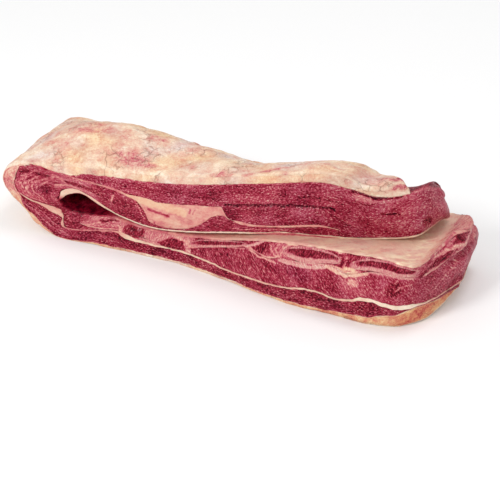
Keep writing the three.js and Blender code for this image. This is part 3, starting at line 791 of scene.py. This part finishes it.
seam_end = ragged("seam", 14)
seam = Ribbon(SEAM_START, LAST, outer_end, seam_end, (18, 6, 8, 6), spacing=1.1)
grain = strip_grain(seam)
SEAM_PALENESS = [
    [4.5, .62], [6.8, .62], [7.3, .62], [9.6, .62], [10, .58], [11.6, .56], [12, .3], [15.5, .3],
    [15.9, .7], [17.5, .72], [18.4, .6], [19, .5], [20.3, .62], [20.6, .8], [22.3, .8],
    [23.5, .7], [26, .74], [26.5, .84], [27.6, .95], [28.6, .96], [29, .76], [30, .7],
]
tone = Tone(seam, size_at(SEAM_PALENESS, seam.station) + 0.06 * noise(grain, 9, 37), 0.06)
tone.line([(9.62, 20), (9.1, 22.5), (8.6, 26), (8.15, 32)], 9, 0.76, 0.35)
tone.line([(8.9, 40), (8.3, 45)], 6, 0.7, 0.1)
tone.line([(9.1, 31), (8.85, 33.5), (8.55, 37)], 2.6, 0.3)
tone.line([(7.98, 28), (8.0, 32)], 2.2, 0.36)
tone.line([(7.85, 27), (7.93, 33.5)], 1.2, 0.42)
tone.line([(8.95, 46), (8.97, 50)], 1.2, 0.4)
seam.push_out(seam.cut() * (cut_relief(seam) + 0.3))
make_object("seam_fat_sheet", seam, grain, tone,
            beef_material("seam_fat_cut", 0.0022, 1.5, 0.8, 0.8, softness=0.08,
                          rough=(0.35, 0.5)),
            "seam_fat")


# -------------------------------- deep muscle
# The muscle between the seam and the ribs, thickest in the lower leaf, where its fibres are
# cut slantwise. At the fold it is torn and mixed with fat.

LOWER_FIBRES_TURN = -47


def pinks_of_the_middle(tone):
    """Fat round two small muscles near the fold, cut through together with the rib layer."""
    tone.patch([(20.4, 12), (20.4, 30), (22.15, 30), (22.15, 12)], 0.56, 0, 0.12)
    tone.patch([(21.34, 16.1), (21.65, 23.4), (21.91, 24.6), (22.08, 12), (21.55, 12.1)], 0.2)
    tone.line([(20.42, 22), (20.5, 15.6), (20.71, 12.9), (20.9, 16.5)], 3.4, 0.66)
    tone.spot(20.75, 21, 13, 7, 0.19)
    tone.spot(20.6, 21.4, 3.2, 4.5, 0.24)
    tone.line([(20.85, 26), (20.8, 21), (20.88, 16.5)], 1.0, 0.36)
    tone.line([(21.0, 24), (20.97, 19)], 0.9, 0.36)
    tone.line([(21.7, 26.7), (22.0, 24.2), (22.12, 19)], 2.4, 0.66)


deep_end = ragged("deep", 17)
deep = Ribbon(SEAM_START, LAST, seam_end, deep_end, (50, 6, 16, 6), spacing=1.15)
turned = LOWER_FIBRES_TURN * rise(deep.station, 20.4, 21.8)
grain = strip_grain(deep, turned, about=(21, 10))
fibres = noise(grain * [0.14, 1, 0.3], 2.6, 38)
broad = noise(grain, 16, 39)
DEEP_PALENESS = [
    [4.5, .27], [9, .27], [10.6, .27], [11.1, .42], [12.2, .4], [12.8, .3], [16, .32],
    [16.6, .22], [18.5, .22], [20.2, .3], [22.2, .25], [24, .28], [26, .30], [27.5, .34],
    [30, .32],
]
tone = Tone(deep, size_at(DEEP_PALENESS, deep.station) + 0.05 * broad, 0, 0.24 + 0.2 * broad)
lower = between(deep.station, 22, 23, 25, 27)
tone.lay(lower * rise(fibres, 0.15, 0.5) * 0.6, 0.44)
tone.lay(lower * rise(-fibres, 0.2, 0.5) * 0.5, 0.16)
folded = between(deep.station, 12.3, 12.8, 16, 16.5)
torn = noise(grain * [0.6, 1, 1], 7, 45) + 0.5 * noise(grain, 3.5, 46)
tone.lay(folded * rise(torn, 0.1, 0.6) * 0.75, 0.47)
tone.lay(folded * rise(-torn, 0.15, 0.7) * 0.7, 0.14, 0, 0.2)
tone.line([(14.8, 4), (15.2, 12), (15.6, 20), (15.8, 29)], 10, 0.4)
tone.line([(15.72, 12), (16.0, 22), (16.2, 32)], 2.0, 0.52)
tone.spot(13.29, 3, 7, 4, 0.14, turn=20)
tone.spot(12.75, 11, 12, 4, 0.16, 0, 0.2, turn=-15)
tone.spot(14.1, 37, 9, 9, 0.2, 0, 0.5)
tone.line([(12.5, 17), (12.2, 8)], 3, 0.5)
tone.line([(12.7, 5), (13.3, 9), (13.9, 8)], 1.4, 0.56)
tone.line([(13.1, 16), (13.8, 19), (14.5, 16)], 2.2, 0.54, 0, 0.1)
tone.line([(14.2, 24), (15.0, 27), (15.7, 36)], 2.0, 0.56)
tone.line([(13.0, 26), (13.6, 30), (14.3, 30)], 1.2, 0.6)
tone.line([(13.6, 12), (14.3, 10), (14.9, 14)], 3, 0.5)
tone.line([(14.6, 20), (15.2, 19), (15.6, 22)], 2.2, 0.56)
tone.line([(12.9, 21), (13.5, 24), (14.0, 22)], 2, 0.55)
# over the flap
tone.spot(12.1, 15, 4, 8, 0.52)
tone.line([(12.0, 19), (11.37, 17), (10.88, 19), (10.6, 22)], 6, 0.17)
tone.line([(12.9, 33), (12.3, 27), (11.6, 25)], 3, 0.56)
# painted shade: the deep muscle is darkened to near black next to its rib side where it borders the
# pocket
from_rib_side = deep.high - deep.distance
tone.lay(between(deep.station, 12.6, 12.9, 14.4, 15) * fade(from_rib_side, 0.8, 1.8), 0.03)
# the chunk beside it and the thin strip over the membrane
tone.spot(10.0, 32, 16, 12, 0.22, 0, 0.12)
tone.line([(10.15, 20), (10.3, 27)], 2.2, 0.6)
tone.line([(9.5, 19), (9.4, 30), (9.25, 44)], 2.0, 0.5)
tone.line([(5.9, 54), (6.5, 53.5), (7.1, 51)], 1.2, 0.45)
# the floor of the pocket
tone.line([(17.5, 34), (18.2, 24), (18.7, 21)], 5, 0.17)
tone.line([(17.9, 31), (18.5, 23)], 1.3, 0.42)
# lower leaf
pinks_of_the_middle(tone)
tone.spot(24.95, 36, 17, 9, 0.27, 0, 0.55, turn=-10)
tone.spot(26.35, 35, 17, 11, 0.38, 0, 0.12)
tone.spot(26.28, 37.5, 6, 4, 0.58)
tone.spot(27.6, 36, 9, 8, 0.2)
tone.line([(27.68, 34), (27.9, 38.5), (28.5, 41)], 1.6, 0.5)
tone.line([(29.2, 20), (29.5, 30), (29.8, 36)], 2, 0.42)
tone.line([(22.15, 20.5), (22.46, 25.3), (22.93, 33), (23.46, 39)], 1.6, 0.56)
tone.line([(23.6, 41), (23.83, 39), (24.09, 38.4), (24.31, 39)], 2.0, 0.64)
under_ribs = between(deep.station, 24.3, 24.6, 28.5, 28.9) * fade(from_rib_side, 1.2, 2.6)
tone.lay(under_ribs * 0.9, 0.64, 0, 0.2)
tone.line([(24.45, 42.6), (24.96, 43.2), (25.3, 45.5), (25.55, 47.5)], 3.4, 0.66, 0, 0.25)
tone.line([(25.6, 48.8), (25.8, 46.5), (26.08, 43.2), (26.35, 46), (26.6, 48.5)], 3.4, 0.72, 0.1)
deep.push_out(deep.cut() * cut_relief(deep))
make_object("deep_muscle_meat", deep, grain, tone,
            beef_material("deep_muscle_cut", 0.0015, 2.2, 1.8, 0.6, shine=0.2, speck_and_glint_amount=0.18),
            "deep_muscle")


# -------------------------------- rib membrane
# The thin pale lining of the chest wall on the rib side of both leaves. Over the pocket at
# the fold it thickens to a white flap, and inside the pocket it is painted dark: dark meat
# with painted shade deepening it.

lining_start = ragged("ribs", 20, 0.3)
lining = Ribbon(0, LAST, lining_start, ragged("side", 21, 0.3), (7, 44, 6, 6), spacing=1.25,
                edges=(0.4, 1.6), end_rings=3)
grain = strip_grain(lining)
LINING_PALENESS = [
    [0, .6], [0.9, .86], [10, .88], [10.6, .8], [13.6, .8], [14.2, .5], [14.8, .24], [19.5, .22],
    [20.2, .5], [22, .54], [23, .67], [26, .77], [28.4, .77], [29, .58], [30, .5],
]
TURN_60 = np.array([[.5, 0, .87], [0, 1, 0], [-.87, 0, .5]])
slant = noise(grain @ TURN_60 * [1, 1, .12], 3.2, 47)
tone = Tone(lining, size_at(LINING_PALENESS, lining.station) + 0.04 * noise(grain, 12, 48),
            np.clip(0.3 * noise(grain, 25, 49), 0, 1))
yellow = rise(slant, -0.05, 0.35) * rise(noise(grain, 40, 54), -0.4, 0.2)
low_leaf = rise(lining.station, 23, 24)
tone.lay(yellow * low_leaf, 0.93, 0.3)
tone.lay(rise(-slant, 0.1, 0.5) * low_leaf * 0.7, 0.64, 0, 0.1)
right = rise(lining.station, 27.8, 29.2)
tone.lay(right * rise(slant, 0.0, 0.5) * 0.8, 0.34)
tone.lay(right * rise(-slant, 0.1, 0.5) * 0.6, 0.76)
hanging = between(lining.station, 4.3, 4.9, 6.4, 6.8)
tone.lay(hanging * rise(lining.distance - lining.low, 0.9, 1.6), 0.46)
# inside the pocket: dark red meat painted darker still as painted shade; near the mouth, cream that
# fades into that shade further in
inside = lining.on_face(RIB_SIDE) * between(lining.station, 11, 12, 19.5, 20.5)
tone.lay(inside, 0.11)
mouth = between(lining.station, 12.4, 12.9, 14, 14.7) * fade(lining.depth, 0.09, 0.24)
tone.lay(inside * mouth, 0.74, 0.3)
lining.push_out(lining.cut() * cut_relief(lining))
make_object("pleura_sheet", lining, grain, tone,
            beef_material("rib_membrane", 0.0026, 1.3, 0.7, 0.6, softness=0.08,
                          rough=(0.3, 0.42)),
            "pleura")


# -------------------------------- ribs
# Three flat ribs cut across: a rim of hard pale bone round dark red spongy marrow, which
# lies a little deeper and nearer to the membrane.

RIBS = {"rib_1": (22.8, 0.72), "rib_2": (25.2, 0.7), "rib_3": (27.5, 1.38)}
MARROW_MIDDLE, MARROW_HEIGHT, MARROW_WIDTH, MARROW_RECESS = 0.15, 0.52, 0.88, 0.8
BONE_STANDS_OUT = 0.5
RIM_PALENESS, MARROW_PALENESS = 0.53, 0.17


class Bone:
    """An oval rib as rings of points: shrinking to the middle of each cut end, full between."""

    def __init__(self, middle, half_width, around=120, caps=22, rows=40):
        angle = np.linspace(0, 2 * np.pi, around, endpoint=False)
        cap = np.linspace(0, 1, caps, endpoint=False)
        spread = np.concatenate([cap, np.ones(rows), cap[::-1]])[:, None]
        depth = np.concatenate([0 * cap, np.linspace(0, 1, rows), 0 * cap + 1])
        side, height = np.cos(angle) * spread, np.sin(angle) * spread
        self.station = middle + half_width * side
        self.depth = np.broadcast_to(depth[:, None], self.station.shape)
        low, high = (face(self.station, self.depth) for face in (deep_end, lining_start))
        self.distance = low + (high - low) * (height + 1) / 2
        core = (side / MARROW_WIDTH)**2 + ((height - MARROW_MIDDLE) / MARROW_HEIGHT)**2
        torn = core + 0.25 * noise(strip_grain(self), 3, 51)
        self.marrow = fade(torn, 0.8, 1.15) * (spread < 1)
        self.lower = fade(height, -0.5, 0.0)
        self.points = place(self.station, self.depth, self.distance)
        relief = (cut_relief(self) + BONE_STANDS_OUT
                  - (MARROW_RECESS + BONE_STANDS_OUT) * self.marrow)
        self.points[..., 1] -= np.where(self.depth < 0.5, relief, -relief) * (spread < 1)


bone_paint = beef_material("rib_bone", 0.0016, 1.8, 1.7, 0.4, relief=0.0014, softness=0.05)
for name, (middle, half_width) in RIBS.items():
    bone = Bone(middle, half_width)
    tone = Tone(bone, RIM_PALENESS + 0.08 * bone.lower, 0.0, 0.2)
    tone.lay(bone.marrow, MARROW_PALENESS)
    make_object(name + "_bone", bone, strip_grain(bone, 90, (middle, 0)), tone, bone_paint,
                name)


# -------------------------------- between the ribs
# Meat and fat that fill the rib layer, each piece with its ends round the ribs beside it:
# a pale streaky wedge at the fold, small muscles, and the streaky meat of the right end.

# node, the stations or ribs that it lies between, how its grain is turned, and slot
FILLS = [
    ("wedge_fat", RIB_LAYER_START, 20.38, 12, "rib_fat"),
    ("intercostal_1", 20.38, 21.0, 80, "rib_meat"),
    ("intercostal_2", 21.0, "rib_1", 80, "rib_fat"),
    ("intercostal_3", "rib_1", "rib_2", 80, "rib_meat"),
    ("intercostal_4", "rib_2", "rib_3", 80, "rib_meat"),
    ("intercostal_5", "rib_3", LAST, 8, "rib_meat"),
]
fill_paint = beef_material("rib_layer_cut", 0.0015, 2.0, 1.7, 0.7, shine=0.3, speck_and_glint_amount=0.12)
FILL_PALENESS = [
    [18.4, .22], [18.8, .3], [19.3, .48], [20.3, .5], [22.2, .3], [22.6, .2], [23.4, .18],
    [24.1, .3], [24.4, .4], [25.5, .4], [25.8, .2], [26.2, .26], [28.6, .45], [29.1, .34],
    [29.6, .42], [30, .45],
]
WING = 0.92


def beside(name, side):
    """The station of a rib's outline, by the height in the rib layer, blunt at its top and foot."""
    middle, half_width = RIBS[name]

    def outline(depth, share):
        height = np.minimum(np.abs(2 * share - 1), WING)
        return middle + side * half_width * np.sqrt(1 - height**2)
    return outline


for name, first, last, turn, slot in FILLS:
    fill = Ribbon(beside(first, 1) if isinstance(first, str) else first,
                  beside(last, -1) if isinstance(last, str) else last,
                  deep_end, lining_start, (18, 10, 8, 10), spacing=1.1)
    grain = strip_grain(fill, turn, (fill.station.mean(), 0))
    streaks = noise(grain * [0.16, 1, 0.3], 2.6, 52)
    tone = Tone(fill, size_at(FILL_PALENESS, fill.station) + 0.13 * streaks, 0, 0.1)
    tone.lay(between(fill.station, 18.8, 19.4, 20.2, 20.5)
             * fade(fill.distance - fill.low, 0.8, 2.2), 0.64)
    tone.line([(19.75, 26.2), (19.95, 27), (20.27, 29.5)], 2.2, 0.18)
    tone.line([(18.8, 17), (19.3, 22), (19.8, 25)], 1.8, 0.6)
    pinks_of_the_middle(tone)
    # rib 1 side: pale lines and the small muscle beside rib 2
    tone.line([(22.12, 20.3), (22.46, 26), (22.93, 34.4), (23.46, 42)], 2.0, 0.62)
    tone.patch([(23.72, 43.5), (23.95, 56), (24.16, 56), (24.18, 45.5), (24.0, 41.5)], 0.2)
    tone.line([(23.5, 42.6), (23.68, 46), (23.9, 53.5), (24.05, 57)], 2.6, 0.66, 0, 0.25)
    tone.line([(23.55, 42), (23.83, 40.5), (24.09, 40.2), (24.35, 43)], 2.6, 0.64)
    tone.line([(24.12, 57), (24.17, 50), (24.28, 45.5), (24.5, 45)], 1.4, 0.62)
    tone.line([(24.37, 58.5), (24.3, 51.3), (24.41, 45.9)], 1.4, 0.62)
    tone.line([(24.62, 60), (24.5, 54.2), (24.46, 47)], 1.8, 0.64)
    tone.line([(24.6, 61), (24.8, 62)], 3.0, 0.84, 0.2)
    # between ribs 2 and 3
    tone.line([(25.8, 66), (25.89, 61.3), (25.85, 53.3)], 1.4, 0.6)
    tone.line([(26.02, 66), (26.03, 61.9), (26.0, 52.5)], 1.4, 0.58)
    tone.line([(25.6, 50.8), (25.8, 49.4), (26.0, 48), (26.12, 46), (26.4, 49)], 3.0, 0.72, 0.2)
    tone.spot(26.15, 50.5, 8, 2.2, 0.8, 0.35)
    # right end
    tone.line([(28.9, 45), (29.15, 47.5), (29.45, 48.5), (29.75, 50), (30, 53)], 4.5, 0.17)
    tone.line([(29.0, 44.6), (29.43, 43.8), (29.79, 42.6), (30, 42)], 2.4, 0.62)
    tone.line([(29.3, 53.5), (29.6, 52.8), (30, 48.5)], 2.4, 0.6)
    fill.push_out(fill.cut() * cut_relief(fill))
    make_object(name + "_cut", fill, grain, tone, fill_paint, name)
